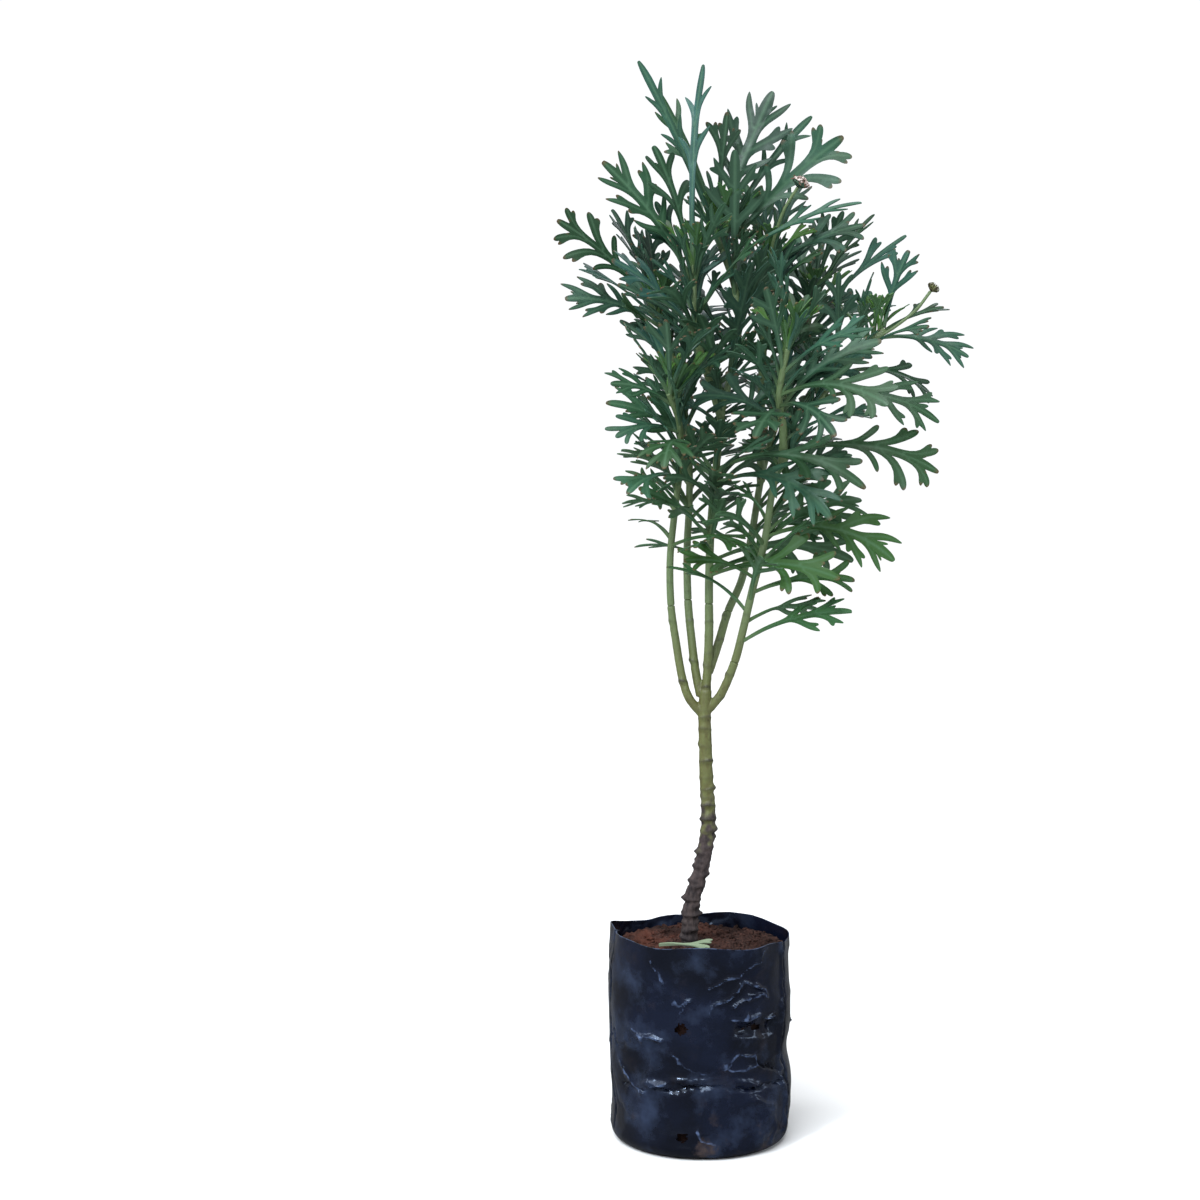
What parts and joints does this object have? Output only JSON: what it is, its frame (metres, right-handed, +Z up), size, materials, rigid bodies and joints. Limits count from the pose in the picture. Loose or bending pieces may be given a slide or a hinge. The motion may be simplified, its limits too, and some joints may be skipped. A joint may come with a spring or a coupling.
{
  "type": "potted marguerite daisy",
  "caption": "Young trained marguerite daisy with a bare woody stem and a crown of lobed leaves, in a black nursery bag of soil.",
  "frame": {"origin": "middle of the bag's flat base, on the surface it stands on", "axes": "+Z up along the stem, -Y towards the front of the plant, +X to the right as seen from the front"},
  "size_m": [0.2057, 0.1566, 0.5351],
  "materials": {
    "bag_film": "thin glossy black film, crumpled",
    "soil": "loose reddish brown potting soil, matt",
    "bark": "rough bark, brown low down and green above",
    "leaf": "fleshy blue-green leaf with a soft sheen",
    "withered_head": "dry withered florets",
    "bud": "dry scaly bud"
  },
  "bodies": {
    "root": {"polybag": "bag_film", "soil": "soil", "main_stem": "bark", "leafy_branch_centre": "leaf", "leafy_branch_left_inner": "leaf", "leafy_branch_right": "leaf", "leafy_branch_back": "leaf", "leafy_branch_left_outer": "leaf", "withered_flower_head": "withered_head", "flower_bud": "bud", "fallen_leaf": "leaf"}
  },
  "joints": []
}
